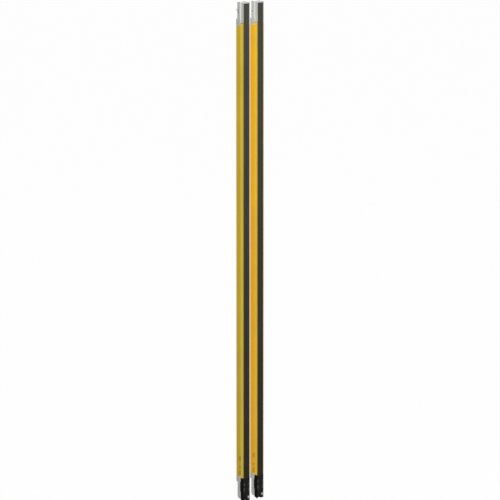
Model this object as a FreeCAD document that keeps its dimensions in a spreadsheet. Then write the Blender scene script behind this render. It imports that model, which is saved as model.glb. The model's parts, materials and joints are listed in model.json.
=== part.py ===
import FreeCAD, Part
import math
import os
import re
import Sketcher

# A safety light curtain: an emitter bar and a receiver bar that stand side by side.
# Each bar is an extruded housing with a dark front window, a cast end block on top, a
# moulded connector module below and a cast mounting bracket behind either end.
# Millimetres. Z is up, the windows face -Y, and the origin lies under the middle of the pair.

NODE_FOLDER = "parts"

SIZES = {
    # the pair
    "barSpacing": 63.3,
    "pegHeight": 3.0,
    # housing extrusion
    "sectionWidth": 30,
    "sectionDepth": 30,
    "profileLength": 1435,
    "frontWall": 1.6,
    "frontDepth": 12,
    "sideGroove": 0.7,
    "frontEdgeRound": 0.5,
    "rearEdgeRound": 0.6,
    "ledgeWidth": 1.6,
    "chamberFloor": 2.4,
    "slotMouth": 5.4,
    "slotLip": 1.8,
    "slotWidth": 10,
    "slotCavity": 3.2,
    "portMargin": 5.5,
    "portInset": 3.1,
    # window and its gasket
    "windowRecess": 0.6,
    "windowThickness": 2.4,
    "windowBevel": 0.4,
    "windowClearance": 0.1,
    "gasketThickness": 0.8,
    "gasketWidth": 1.4,
    # optics
    "opticsGap": 0.7,
    "opticsClearance": 0.3,
    "lensPlate": 1.6,
    "lensHeight": 0.6,
    "lensSize": 9,
    "beamPitch": 50,
    "beamMargin": 30,
    "carrierDepth": 10,
    "carrierWall": 1.4,
    "carrierWeb": 1.2,
    "carrierWebInset": 4.4,
    "apertureSize": 6,
    "boardThickness": 1.6,
    "grooveDepth": 0.9,
    "grooveClearance": 0.1,
    "diodeSize": 4,
    "diodeHeight": 2.6,
    "opticsEndGap": 0.5,
    # end block
    "endBlockHeight": 65.5,
    "endBlockDepth": 14,
    "windowLip": 4.5,
    "endGasket": 1,
    "sealMargin": 0.4,
    "blockBackWall": 4,
    "blockTopWall": 4,
    "blockEdgeRound": 0.8,
    "blockEdgeBevel": 0.6,
    # brackets
    "topLap": 8.5,
    "bottomLap": 4.5,
    "topFootHeight": 21,
    "bottomFootHeight": 17.5,
    "bracketRise": 5,
    "cheekDepth": 25,
    "cheekWall": 2.5,
    "bracketWeb": 3,
    "bracketFloor": 3,
    "ribThickness": 2.4,
    "bossWidth": 9.6,
    "mountHoleRadius": 2.1,
    "mountHoleDepth": 12,
    "mountPitch": 30,
    "mountInset": 13,
    "sideHoleInset": 32,
    "sideScrewInset": 23.6,
    "sideHoleDepth": 21.5,
    "sideScrewReach": 3,
    "topCornerRound": 2,
    "bottomCornerRound": 9,
    "frontLip": 2.4,
    "frontLipHeight": 22,
    # connector module
    "moduleHeight": 72,
    "moduleInset": 0.1,
    "moduleFrontWall": 2.5,
    "moduleBackWall": 2.4,
    "moduleCavityFloor": 28,
    "moduleEdgeRound": 0.7,
    "socketWidth": 14,
    "socketOffset": 4,
    "socketDepth": 8,
    "socketInset": 2.2,
    "socketHeight": 12,
    "contactHeight": 6,
    "pinWidth": 0.8,
    "pinLength": 5,
    "pinPitch": 3,
    "pegWidth": 3.2,
    "pegDepth": 4,
    "lugGap": 0.4,
    "lugDepth": 7,
    "gripLevel": 8,
    "gripInset": 2.5,
    "ribPitch": 3.2,
    "ribCount": 5,
    "ribDepth": 0.8,
    "ribWidth": 1.4,
    "ribLength": 6,
    "lampWidth": 4.6,
    "lampDepth": 1.4,
    "lampBevel": 0.3,
    "lampMargin": 4.4,
    "tallLampHeight": 13,
    "shortLampHeight": 9,
    "tallLampLevel": 27,
    "shortLampLevel": 46.5,
    "terminalMargin": 1.4,
    "terminalHeight": 34,
    # screws
    "screwSides": 8,
    "screwClearance": 0.1,
    "keyRadius": 1.6,
    "keyDepth": 1.3,
    "footScrewRadius": 1.25,
    "footScrewHead": 2.6,
    "footScrewHeadHeight": 1.8,
    "footScrewGrip": 12,
    "rearScrewRadius": 1.4,
    "rearScrewHead": 2.9,
    "rearScrewHeadHeight": 2,
    "rearScrewGrip": 3,
    "capScrewRadius": 1.9,
    "capScrewHead": 3.4,
    "capScrewHeadHeight": 2.6,
    "capScrewGrip": 6,
    "capScrewInset": 7,
    "frontScrewRadius": 1.9,
    "frontScrewHead": 4.5,
    "frontScrewHeadHeight": 2,
    "frontScrewMargin": 5.6,
    "frontScrewLevel": 8.5,
    "frontScrewReach": 3,
    "frontScrewSink": 0.15,
    "sideScrewRadius": 2,
    "sideScrewHead": 3.3,
    "sideScrewHeadHeight": 4.6,
}

# Places that more than one piece shares, as expressions of the sizes. Y runs front to rear.
HALF_WIDTH = "sectionWidth/2"
FRONT = "-sectionDepth/2"
REAR = "sectionDepth/2"
SHOULDER = f"({FRONT} + frontDepth)"
SEAT_DEPTH = "(windowRecess + windowThickness + gasketThickness)"
LEDGE = f"({FRONT} + {SEAT_DEPTH})"
SEAT_HALF = f"({HALF_WIDTH} - frontWall)"
CHAMBER_HALF = f"({SEAT_HALF} - ledgeWidth)"
CHAMBER_BACK = f"({REAR} - slotLip - slotCavity - chamberFloor)"
OPTICS_HALF = f"({CHAMBER_HALF} - opticsClearance)"
LENS_FRONT = f"({LEDGE} + opticsGap)"
CARRIER_FRONT = f"({LENS_FRONT} + lensPlate)"
BOARD_FRONT = f"({CARRIER_FRONT} + carrierDepth)"
BOARD_BACK = f"({BOARD_FRONT} + boardThickness)"
GROOVE_HALF = f"({CHAMBER_HALF} + grooveDepth)"
PORT_X = f"({HALF_WIDTH} - portMargin)"
PORT_Y = f"({REAR} - portInset)"
REAR_SCREW_X = f"((bossWidth/2 + {HALF_WIDTH} - cheekWall)/2)"
REAR_SCREW_HOLE = "rearScrewRadius + screwClearance"
FRONT_SCREW_X = f"({HALF_WIDTH} - frontScrewMargin)"
LAMP_X = f"({HALF_WIDTH} - lampMargin)"
BLOCK_BACK = f"({FRONT} + endBlockDepth)"
CHEEK_REAR = f"({FRONT} + cheekDepth)"
WEB_BACK = f"({BLOCK_BACK} + bracketWeb)"
PROFILE_BASE = "(pegHeight + moduleHeight)"
PROFILE_TOP = f"({PROFILE_BASE} + profileLength)"
WINDOW_LENGTH = "(profileLength + endBlockHeight - windowLip - windowClearance)"
BAR_TOP = f"({PROFILE_TOP} + endBlockHeight)"
SOCKET_FRONT = f"({FRONT} + socketInset)"
SOCKET_LEFT = "(-socketOffset - socketWidth/2)"
OPTICS_BASE = f"({PROFILE_BASE} + bottomLap + opticsEndGap)"
OPTICS_LENGTH = "(profileLength - bottomLap - topLap - 2*opticsEndGap)"
BEAM_COUNT = "(floor((profileLength - 2*beamMargin)/beamPitch) + 1)"
FIRST_BEAM = f"((profileLength - beamPitch*({BEAM_COUNT} - 1))/2)"

# The level and the height of each row of lamps on the module.
LAMP_ROWS = [("tallLampLevel", "tallLampHeight"), ("shortLampLevel", "shortLampHeight")]

doc = FreeCAD.newDocument("LightCurtain")


def bound(words):
    """The sheet's form of an expression that names its sizes."""
    return re.sub(r"[A-Za-z]\w*(?!\w|\()", lambda word: "Sizes." + word.group(0), words)


def makeSheet():
    sheet = doc.addObject("Spreadsheet::Sheet", "Sizes")
    for row, (alias, value) in enumerate(SIZES.items(), start=1):
        sheet.set(f"A{row}", alias)
        sheet.set(f"B{row}", str(value))
        sheet.setAlias(f"B{row}", alias)
    doc.recompute()
    return sheet


def place(item, x="0", y="0", z="0"):
    for axis, words in (("x", x), ("y", y), ("z", z)):
        item.setExpression(f"Placement.Base.{axis}", bound(words))


def newBody(label, x, y="0", z="0"):
    body = doc.addObject("PartDesign::Body", label)
    body.Label = label
    place(body, x, y, z)
    return body


def origin(body, role):
    return next(item for item in body.Origin.OriginFeatures if item.Role == role)


def newSketch(body, role):
    sketch = body.newObject("Sketcher::SketchObject", body.Label + "_sketch")
    sketch.AttachmentSupport = (origin(body, role), [""])
    sketch.MapMode = "FlatFace"
    return sketch


def fix(sketch, kind, where, words, value):
    """A dimension of the sketch that follows an expression."""
    number = sketch.addConstraint(Sketcher.Constraint(kind, *where, value))
    sketch.setExpression(f"Constraints[{number}]", bound(words))


def outline(sketch, points):
    """A closed outline whose corners follow pairs of expressions."""
    count = len(points)
    first = sketch.GeometryCount
    turn = 2 * math.pi / count
    ring = [FreeCAD.Vector(math.cos(turn * i), math.sin(turn * i), 0) for i in range(count)]
    for i in range(count):
        sketch.addGeometry(Part.LineSegment(ring[i], ring[(i + 1) % count]))
    for i in range(count):
        joint = (first + i, 2, first + (i + 1) % count, 1)
        sketch.addConstraint(Sketcher.Constraint("Coincident", *joint))
    for i, (across, along) in enumerate(points):
        fix(sketch, "DistanceX", (-1, 1, first + i, 1), across, ring[i].x)
        fix(sketch, "DistanceY", (-1, 1, first + i, 1), along, ring[i].y)


def rectangle(sketch, left, right, low, high):
    outline(sketch, [(left, low), (right, low), (right, high), (left, high)])


def circle(sketch, across, along, radius):
    number = sketch.addGeometry(Part.Circle(FreeCAD.Vector(1, 1, 0), FreeCAD.Vector(0, 0, 1), 1))
    fix(sketch, "Radius", (number,), radius, 1)
    fix(sketch, "DistanceX", (-1, 1, number, 3), across, 1)
    fix(sketch, "DistanceY", (-1, 1, number, 3), along, 1)


def extrude(body, kind, sketch, length, both=False, reverse=False):
    """A pad or a pocket, to one side of its sketch or to both."""
    feature = body.newObject("PartDesign::" + kind, body.Label + "_" + kind)
    feature.Profile = sketch
    feature.setExpression("Length", bound(length))
    feature.SideType = "Symmetric" if both else "One side"
    feature.Reversed = reverse
    sketch.Visibility = False
    return feature


def repeatUp(body, feature, pitch, count):
    """Copies of a feature at even steps up the bar."""
    pattern = body.newObject("PartDesign::LinearPattern", body.Label + "_row")
    pattern.Originals = [feature]
    pattern.Direction = (origin(body, "Z_Axis"), [""])
    pattern.setExpression("Length", bound(f"{pitch}*({count} - 1)"))
    pattern.setExpression("Occurrences", bound(count))
    body.Tip = pattern
    return pattern


def facingRear(body, depth):
    """A sketch across the bar at a depth, whose pockets and reversed pads run to the rear."""
    sketch = newSketch(body, "XZ_Plane")
    sketch.setExpression("AttachmentOffset.Base.z", bound(f"-({depth})"))
    return sketch


def sideCut(body, front, rear, low, high, width):
    """A slot cut through the middle of a body, seen from its side."""
    sketch = newSketch(body, "YZ_Plane")
    rectangle(sketch, front, rear, low, high)
    return extrude(body, "Pocket", sketch, width, both=True)


def roundEdges(body, chosen, radius):
    """Rounds the edges of the body's last feature that a test picks."""
    doc.recompute()
    base = body.Tip
    names = [f"Edge{i}" for i, edge in enumerate(base.Shape.Edges, start=1) if chosen(edge)]
    feature = body.newObject("PartDesign::Fillet", body.Label + "_round")
    feature.Base = (base, names)
    feature.setExpression("Radius", bound(radius))
    return feature


def bevelEdges(body, chosen, size):
    """Bevels the edges of the body's last feature that a test picks."""
    doc.recompute()
    base = body.Tip
    names = [f"Edge{i}" for i, edge in enumerate(base.Shape.Edges, start=1) if chosen(edge)]
    feature = body.newObject("PartDesign::Chamfer", body.Label + "_bevel")
    feature.Base = (base, names)
    feature.setExpression("Size", bound(size))
    return feature


def runsAlong(edge, axis):
    """Whether a straight edge is parallel to an axis: 0 for X, 1 for Y, 2 for Z."""
    if edge.Curve.TypeId != "Part::GeomLine":
        return False
    return abs(abs(edge.Curve.Direction[axis]) - 1) < 1e-6


def near(value, target):
    return abs(value - target) < 1e-3


def makeHousing(label, barX):
    """Painted extrusion: an open optics chamber in front, a T-slot behind, a groove down each side."""
    right = [
        (SEAT_HALF, FRONT),
        (HALF_WIDTH, FRONT),
        (HALF_WIDTH, f"{SHOULDER} - 2*sideGroove"),
        (f"{HALF_WIDTH} - sideGroove", f"{SHOULDER} - sideGroove"),
        (HALF_WIDTH, SHOULDER),
        (HALF_WIDTH, REAR),
        ("slotMouth/2", REAR),
        ("slotMouth/2", f"{REAR} - slotLip"),
        ("slotWidth/2", f"{REAR} - slotLip"),
        ("slotWidth/2", f"{REAR} - slotLip - slotCavity"),
    ]
    chamber = [
        (CHAMBER_HALF, CHAMBER_BACK),
        (CHAMBER_HALF, f"{BOARD_BACK} + grooveClearance"),
        (GROOVE_HALF, f"{BOARD_BACK} + grooveClearance"),
        (GROOVE_HALF, f"{BOARD_FRONT} - grooveClearance"),
        (CHAMBER_HALF, f"{BOARD_FRONT} - grooveClearance"),
        (CHAMBER_HALF, LEDGE),
        (SEAT_HALF, LEDGE),
    ]
    left = [(f"-({across})", along) for across, along in reversed(right)]
    leftChamber = [(f"-({across})", along) for across, along in reversed(chamber)]
    body = newBody(label, barX, z=PROFILE_BASE)
    section = newSketch(body, "XY_Plane")
    outline(section, right + left + leftChamber + chamber)
    for side in ("-", ""):
        circle(section, f"{side}{PORT_X}", PORT_Y, "footScrewRadius + screwClearance")
    extrude(body, "Pad", section, "profileLength")
    # the bracket feet lap over the rear of the extrusion at both ends
    for low, high in (("-1", "bottomLap"), ("profileLength - topLap", "profileLength + 1")):
        sideCut(body, SHOULDER, f"{REAR} + 1", low, high, "sectionWidth + 2")
    half = SIZES["sectionWidth"] / 2
    rear = SIZES["sectionDepth"] / 2

    def frontCorner(edge):
        spot = edge.CenterOfMass
        return runsAlong(edge, 2) and near(abs(spot.x), half) and near(spot.y, -rear)

    def rearCorner(edge):
        spot = edge.CenterOfMass
        return runsAlong(edge, 2) and near(abs(spot.x), half) and near(spot.y, rear)

    roundEdges(body, frontCorner, "frontEdgeRound")
    roundEdges(body, rearCorner, "rearEdgeRound")
    return body


def makeWindow(label, barX):
    """Dark front pane with bevelled long edges, from the module up over the end block."""
    side = f"{SEAT_HALF} - windowClearance"
    front = f"{FRONT} + windowRecess"
    right = [
        (f"{side} - windowBevel", front),
        (side, f"{front} + windowBevel"),
        (side, f"{front} + windowThickness"),
    ]
    left = [(f"-({across})", along) for across, along in reversed(right)]
    body = newBody(label, barX, z=PROFILE_BASE)
    section = newSketch(body, "XY_Plane")
    outline(section, right + left)
    extrude(body, "Pad", section, WINDOW_LENGTH)
    return body


def makeWindowGasket(label, barX):
    """Flat ring of rubber between the window and its ledge."""
    side = f"({SEAT_HALF} - windowClearance)"
    body = newBody(label, barX, LEDGE, PROFILE_BASE)
    ring = newSketch(body, "XZ_Plane")
    rectangle(ring, f"-{side}", side, "0", WINDOW_LENGTH)
    inner = f"({side} - gasketWidth)"
    rectangle(ring, f"-{inner}", inner, "gasketWidth", f"{WINDOW_LENGTH} - gasketWidth")
    extrude(body, "Pad", ring, "gasketThickness")
    return body


def makeLensStrip(label, barX):
    """Clear strip with one raised lens tile for each beam."""
    body = newBody(label, barX, CARRIER_FRONT, OPTICS_BASE)
    strip = newSketch(body, "XZ_Plane")
    rectangle(strip, f"-{OPTICS_HALF}", OPTICS_HALF, "0", OPTICS_LENGTH)
    extrude(body, "Pad", strip, "lensPlate")
    tile = newSketch(body, "XZ_Plane")
    middle = f"({FIRST_BEAM} - bottomLap - opticsEndGap)"
    rectangle(tile, "-lensSize/2", "lensSize/2", f"{middle} - lensSize/2", f"{middle} + lensSize/2")
    lens = extrude(body, "Pad", tile, "lensPlate + lensHeight")
    repeatUp(body, lens, "beamPitch", BEAM_COUNT)
    return body


def makeOpticsCarrier(label, barX):
    """H-section strip that spaces the lenses from the board, with one aperture for each beam."""
    inner = f"{OPTICS_HALF} - carrierWall"
    webBack = f"{BOARD_FRONT} - carrierWebInset"
    right = [
        (inner, CARRIER_FRONT),
        (OPTICS_HALF, CARRIER_FRONT),
        (OPTICS_HALF, BOARD_FRONT),
        (inner, BOARD_FRONT),
        (inner, webBack),
    ]
    upper = [(inner, f"{webBack} - carrierWeb")]
    left = [(f"-({across})", along) for across, along in reversed(right)]
    leftUpper = [(f"-({across})", along) for across, along in upper]
    body = newBody(label, barX, z=OPTICS_BASE)
    section = newSketch(body, "XY_Plane")
    outline(section, right + left + leftUpper + upper)
    extrude(body, "Pad", section, OPTICS_LENGTH)
    middle = f"({FIRST_BEAM} - bottomLap - opticsEndGap)"
    hole = sideCut(
        body,
        f"{webBack} - carrierWeb - 1",
        f"{webBack} + 1",
        f"{middle} - apertureSize/2",
        f"{middle} + apertureSize/2",
        "apertureSize",
    )
    repeatUp(body, hole, "beamPitch", BEAM_COUNT)
    return body


def makePlate(label, barX, width, depth, height, y, z):
    """A plain flat plate, centred across the bar."""
    plate = doc.addObject("Part::Box", label)
    plate.Label = label
    plate.setExpression("Length", bound(width))
    plate.setExpression("Width", bound(depth))
    plate.setExpression("Height", bound(height))
    place(plate, f"{barX} - ({width})/2", y, z)
    return plate


def read(words):
    """The present value of an expression."""
    probe = doc.addObject("App::FeaturePython", "Probe")
    probe.addProperty("App::PropertyFloat", "value")
    probe.setExpression("value", bound(words))
    probe.recompute()
    value = probe.value
    doc.removeObject(probe.Name)
    return value


def makeGroup(label, solids, base):
    """Identical small pieces that share one node."""
    group = doc.addObject("Part::Feature", label)
    group.Label = label
    group.Shape = solids[0] if len(solids) == 1 else Part.makeCompound(solids)
    group.Placement = FreeCAD.Placement(FreeCAD.Vector(*base), FreeCAD.Rotation())
    return group


def makeDiodes(label, sheet, barX):
    """One light source, or one light sensor, on the board behind each lens."""
    size = sheet.diodeSize
    pitch = sheet.beamPitch
    solids = []
    for beam in range(int(read(BEAM_COUNT))):
        corner = FreeCAD.Vector(-size / 2, -sheet.diodeHeight, beam * pitch - size / 2)
        solids.append(Part.makeBox(size, sheet.diodeHeight, size, corner))
    base = (read(barX), read(BOARD_FRONT), read(f"{PROFILE_BASE} + {FIRST_BEAM}"))
    return makeGroup(label, solids, base)


def makeEndBlock(label, barX):
    """Cast end block that carries the window's upper end, stepped behind for the foot."""
    step = "topFootHeight - topLap"
    body = newBody(label, barX, z=PROFILE_TOP)
    side = newSketch(body, "YZ_Plane")
    corners = [
        (FRONT, "endGasket"),
        (SHOULDER, "endGasket"),
        (SHOULDER, step),
        (BLOCK_BACK, step),
        (BLOCK_BACK, "endBlockHeight"),
        (FRONT, "endBlockHeight"),
    ]
    outline(side, corners)
    extrude(body, "Pad", side, "sectionWidth", both=True)
    front = -SIZES["sectionDepth"] / 2
    top = SIZES["endBlockHeight"]
    half = SIZES["sectionWidth"] / 2

    def frontCorner(edge):
        spot = edge.CenterOfMass
        return runsAlong(edge, 2) and near(abs(spot.x), half) and near(spot.y, front)

    def topRim(edge):
        spot = edge.CenterOfMass
        return near(spot.z, top) and not (runsAlong(edge, 0) and spot.y > front + 1)

    roundEdges(body, frontCorner, "blockEdgeRound")
    bevelEdges(body, topRim, "blockEdgeBevel")
    sideCut(body, f"{FRONT} - 1", LEDGE, "0", "endBlockHeight - windowLip", f"2*{SEAT_HALF}")
    chamberTop = "endBlockHeight - windowLip - blockTopWall"
    chamberRear = f"({SHOULDER} - blockBackWall/2)"
    sideCut(body, f"{FRONT} - 1", chamberRear, "0", chamberTop, f"2*{CHAMBER_HALF}")
    holes = facingRear(body, chamberRear)
    for sign in ("-", ""):
        circle(holes, f"{sign}{REAR_SCREW_X}", "endBlockHeight - mountInset", REAR_SCREW_HOLE)
    extrude(body, "Pocket", holes, "endBlockDepth")
    bore = newSketch(body, "XY_Plane")
    bore.setExpression("AttachmentOffset.Base.z", bound("endBlockHeight"))
    circle(bore, "0", f"{FRONT} + capScrewInset", "capScrewRadius + screwClearance")
    extrude(body, "Pocket", bore, "capScrewGrip + 1")
    return body


def makeEndGasket(label, barX):
    """Rubber ring between the extrusion and the end block, behind the window."""
    body = newBody(label, barX, z=PROFILE_TOP)
    ring = newSketch(body, "XY_Plane")
    outer = f"({HALF_WIDTH} - sealMargin)"
    rectangle(ring, f"-{outer}", outer, LEDGE, f"{SHOULDER} - sealMargin")
    rear = f"{SHOULDER} - blockBackWall/2"
    rectangle(ring, f"-{CHAMBER_HALF}", CHAMBER_HALF, f"{LEDGE} + gasketWidth", rear)
    extrude(body, "Pad", ring, "endGasket")
    return body


def makeModuleGasket(label, barX):
    """Rubber ring between the module and the lower ends of extrusion and window."""
    body = newBody(label, barX, z=f"{PROFILE_BASE} - endGasket")
    ring = newSketch(body, "XY_Plane")
    outer = f"({HALF_WIDTH} - sealMargin)"
    rectangle(ring, f"-{outer}", outer, f"{FRONT} + sealMargin", f"{SHOULDER} - sealMargin")
    rectangle(ring, f"-{CHAMBER_HALF}", CHAMBER_HALF, LEDGE, f"{SHOULDER} - moduleBackWall")
    extrude(body, "Pad", ring, "endGasket")
    return body


def footLength(end):
    """How far a bracket reaches from the foot's seat on the extrusion, at either end of the bar."""
    if end == "top":
        return "(topLap + endBlockHeight)"
    return "(bottomLap + moduleHeight - bracketRise)"


def bracketBody(label, barX, end):
    """A bracket's body, whose own Z runs from the seat on the extrusion to the end of the bar."""
    if end == "top":
        return newBody(label, barX, z=f"{PROFILE_TOP} - topLap")
    body = newBody(label, barX, z=f"{PROFILE_BASE} + bottomLap")
    turned = FreeCAD.Rotation(FreeCAD.Vector(0, 1, 0), 180)
    body.Placement = FreeCAD.Placement(body.Placement.Base, turned)
    return body


def makeBracket(label, barX, end, hand):
    """Cast bracket: a solid foot on the cut-back extrusion, two cheeks and a web with tapped bosses."""
    foot = end + "FootHeight"
    length = footLength(end)
    body = bracketBody(label, barX, end)
    side = newSketch(body, "YZ_Plane")
    corners = [
        (SHOULDER, "0"),
        (REAR, "0"),
        (REAR, foot),
        (CHEEK_REAR, foot),
        (CHEEK_REAR, length),
        (BLOCK_BACK, length),
        (BLOCK_BACK, foot),
        (SHOULDER, foot),
    ]
    if end == "bottom":
        lip = f"{BLOCK_BACK} - frontLip"
        lipStart = f"{length} - frontLipHeight"
        corners[5:6] = [(lip, length), (lip, lipStart), (BLOCK_BACK, lipStart)]
    outline(side, corners)
    extrude(body, "Pad", side, "sectionWidth", both=True)
    reach = read(length)
    rear = SIZES["cheekDepth"] - SIZES["sectionDepth"] / 2

    def farCorner(edge):
        spot = edge.CenterOfMass
        return runsAlong(edge, 0) and near(spot.y, rear) and near(spot.z, reach)

    roundEdges(body, farCorner, end + "CornerRound")
    cutBays(body, foot, length)
    levels = [f"{length} - mountInset", f"{length} - mountInset - mountPitch"]
    addBosses(body, levels)
    # clearance holes for the screws that hold the end block or the module
    through = facingRear(body, f"{BLOCK_BACK} - 1")
    for sign in ("-", ""):
        level = levels[0] if end == "top" else levels[1]
        circle(through, f"{sign}{REAR_SCREW_X}", level, REAR_SCREW_HOLE)
    extrude(body, "Pocket", through, "bracketWeb + 2")
    # and for the screws down into the extrusion
    down = newSketch(body, "XY_Plane")
    for sign in ("-", ""):
        circle(down, f"{sign}{PORT_X}", PORT_Y, "footScrewRadius + screwClearance")
    extrude(body, "Pocket", down, foot, reverse=True)
    if end == "top":
        boreCheeks(body, length, hand)
    else:
        front = facingRear(body, f"{BLOCK_BACK} - frontLip - 1")
        level = "bottomLap + moduleHeight - frontScrewLevel"
        circle(front, f"-{FRONT_SCREW_X}", level, "frontScrewRadius + screwClearance")
        extrude(body, "Pocket", front, "frontLip + bracketWeb + 2")
    return body


def cutBays(body, foot, length):
    """Two bays open to the rear, with a rib between them."""
    inner = "sectionWidth - 2*cheekWall"
    rib = f"({length} - mountInset - mountPitch/2)"
    rear = f"{REAR} + 1"
    sideCut(body, WEB_BACK, rear, foot, f"{rib} - ribThickness/2", inner)
    sideCut(body, WEB_BACK, rear, f"{rib} + ribThickness/2", f"{length} - bracketFloor", inner)


def addBosses(body, levels):
    """Square bosses that stand back to the mounting plane, each with a tapped blind hole."""
    bosses = facingRear(body, f"{WEB_BACK} - 1")
    for level in levels:
        low = f"{level} - bossWidth/2"
        high = f"{level} + bossWidth/2"
        rectangle(bosses, "-bossWidth/2", "bossWidth/2", low, high)
    extrude(body, "Pad", bosses, f"{REAR} - {WEB_BACK} + 1", reverse=True)
    holes = facingRear(body, f"{REAR} - mountHoleDepth")
    for level in levels:
        circle(holes, "0", level, "mountHoleRadius")
    extrude(body, "Pocket", holes, "mountHoleDepth + 1")


def boreCheeks(body, length, hand):
    """The open hole through both cheeks, and the clamping screw's hole in the outer one."""
    across = "sideHoleDepth - sectionDepth/2"
    openHole = newSketch(body, "YZ_Plane")
    circle(openHole, across, f"{length} - sideHoleInset", "mountHoleRadius")
    extrude(body, "Pocket", openHole, "sectionWidth + 2", both=True)
    screwHole = newSketch(body, "YZ_Plane")
    circle(screwHole, across, f"{length} - sideScrewInset", "sideScrewRadius + screwClearance")
    extrude(body, "Pocket", screwHole, f"{HALF_WIDTH} + 1", reverse=hand > 0)


def makeModule(label, barX):
    """Moulded connector module: plug socket below, cavity above, lamps and a screw in front."""
    upperStep = "moduleHeight + bottomLap - bottomFootHeight"
    lowerStep = "bracketRise + frontLipHeight"
    top = "moduleHeight - endGasket"
    body = newBody(label, barX, z="pegHeight")
    side = newSketch(body, "YZ_Plane")
    corners = [
        (FRONT, "0"),
        (f"{BLOCK_BACK} - frontLip", "0"),
        (f"{BLOCK_BACK} - frontLip", lowerStep),
        (BLOCK_BACK, lowerStep),
        (BLOCK_BACK, upperStep),
        (SHOULDER, upperStep),
        (SHOULDER, top),
        (FRONT, top),
    ]
    outline(side, corners)
    extrude(body, "Pad", side, "sectionWidth - 2*moduleInset", both=True)
    front = -SIZES["sectionDepth"] / 2
    half = SIZES["sectionWidth"] / 2 - SIZES["moduleInset"]

    def frontCorner(edge):
        spot = edge.CenterOfMass
        return runsAlong(edge, 2) and near(abs(spot.x), half) and near(spot.y, front)

    roundEdges(body, frontCorner, "moduleEdgeRound")
    cavityRear = f"{SHOULDER} - moduleBackWall"
    cavityFront = f"{FRONT} + moduleFrontWall"
    sideCut(body, cavityFront, cavityRear, "moduleCavityFloor", f"{top} + 1", f"2*{CHAMBER_HALF}")
    socket = newSketch(body, "XY_Plane")
    right = f"{SOCKET_LEFT} + socketWidth"
    rectangle(socket, SOCKET_LEFT, right, SOCKET_FRONT, f"{SOCKET_FRONT} + socketDepth")
    extrude(body, "Pocket", socket, "socketHeight + contactHeight", reverse=True)
    cutLampRecesses(body)
    cutGripGrooves(body)
    boreModule(body)
    addPegs(body)
    return body


def addPegs(body):
    """A slim peg and a wide lug under the front of the module, one to each side of the socket."""
    pegs = newSketch(body, "XY_Plane")
    side = f"({HALF_WIDTH} - moduleInset - moduleEdgeRound)"
    face = f"({FRONT} + moduleEdgeRound)"
    rectangle(pegs, f"-{side}", f"pegWidth - {side}", face, f"{face} + pegDepth")
    lug = f"{SOCKET_LEFT} + socketWidth + lugGap"
    rectangle(pegs, lug, side, FRONT, f"{FRONT} + lugDepth")
    extrude(body, "Pad", pegs, "pegHeight", reverse=True)


def boreModule(body):
    """The sunk seat and bore of the front screw, and the two rear screws' holes."""
    sink = facingRear(body, f"{FRONT} - 1")
    circle(sink, FRONT_SCREW_X, "frontScrewLevel", "frontScrewHead + frontScrewSink")
    extrude(body, "Pocket", sink, "frontScrewHeadHeight + 1")
    bore = facingRear(body, FRONT)
    circle(bore, FRONT_SCREW_X, "frontScrewLevel", "frontScrewRadius + screwClearance")
    extrude(body, "Pocket", bore, "endBlockDepth")
    rear = facingRear(body, f"{SHOULDER} - moduleBackWall")
    for sign in ("-", ""):
        level = "bracketRise + mountInset + mountPitch"
        circle(rear, f"{sign}{REAR_SCREW_X}", level, REAR_SCREW_HOLE)
    extrude(body, "Pocket", rear, "endBlockDepth")


def cutLampRecesses(body):
    """Shallow recesses in the front that the lamps sit in."""
    for level, height in LAMP_ROWS:
        for side in ("-", ""):
            recess = facingRear(body, f"{FRONT} - 1")
            centre = f"({side}{LAMP_X})"
            half = "(lampWidth/2 + screwClearance)"
            low = f"{level} - screwClearance"
            high = f"{level} + {height} + screwClearance"
            rectangle(recess, f"{centre} - {half}", f"{centre} + {half}", low, high)
            extrude(body, "Pocket", recess, "lampDepth + 1")


def cutGripGrooves(body):
    """Upright row of short finger grooves in both sides of the module."""
    for sign in (-1, 1):
        groove = newSketch(body, "YZ_Plane")
        face = f"{HALF_WIDTH} - moduleInset - ribDepth"
        groove.setExpression("AttachmentOffset.Base.z", bound(f"{sign}*({face})"))
        rear = f"{FRONT} + gripInset + ribLength"
        rectangle(groove, f"{FRONT} + gripInset", rear, "gripLevel", "gripLevel + ribWidth")
        cut = extrude(body, "Pocket", groove, "ribDepth + 1", reverse=sign > 0)
        repeatUp(body, cut, "ribPitch", "ribCount")


def makeLamps(label, sheet, barX):
    """Four indicator lenses, two tall and two short, flush in the module's front."""
    solids = []
    width = sheet.lampWidth
    offset = read(LAMP_X)
    for level, height in LAMP_ROWS:
        for side in (-1, 1):
            low = FreeCAD.Vector(side * offset - width / 2, 0, sheet.get(level))
            lamp = Part.makeBox(width, sheet.lampDepth, sheet.get(height), low)
            front = [edge for edge in lamp.Edges if near(edge.CenterOfMass.y, 0)]
            solids.append(lamp.makeChamfer(sheet.lampBevel, front))
    return makeGroup(label, solids, (read(barX), read(FRONT), read("pegHeight")))


def makePins(label, sheet, barX):
    """Two rows of square contact pins that point down into the socket."""
    solids = []
    width = sheet.pinWidth
    for row in (-0.5, 0.5):
        for column in (-1.5, -0.5, 0.5, 1.5):
            across = column * sheet.pinPitch - width / 2
            along = row * sheet.pinPitch - width / 2
            foot = FreeCAD.Vector(across, along, -sheet.pinLength)
            solids.append(Part.makeBox(width, width, sheet.pinLength, foot))
    base = (
        read(f"{barX} + {SOCKET_LEFT} + socketWidth/2"),
        read(f"{SOCKET_FRONT} + socketDepth/2"),
        read("pegHeight + socketHeight"),
    )
    return makeGroup(label, solids, base)


def prism(radius, sides, low, high):
    """An upright bar with a regular outline."""
    ring = []
    for i in range(sides + 1):
        angle = 2 * math.pi * i / sides
        ring.append(FreeCAD.Vector(radius * math.cos(angle), radius * math.sin(angle), low))
    face = Part.Face(Part.makePolygon(ring))
    return face.extrude(FreeCAD.Vector(0, 0, high - low))


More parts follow.
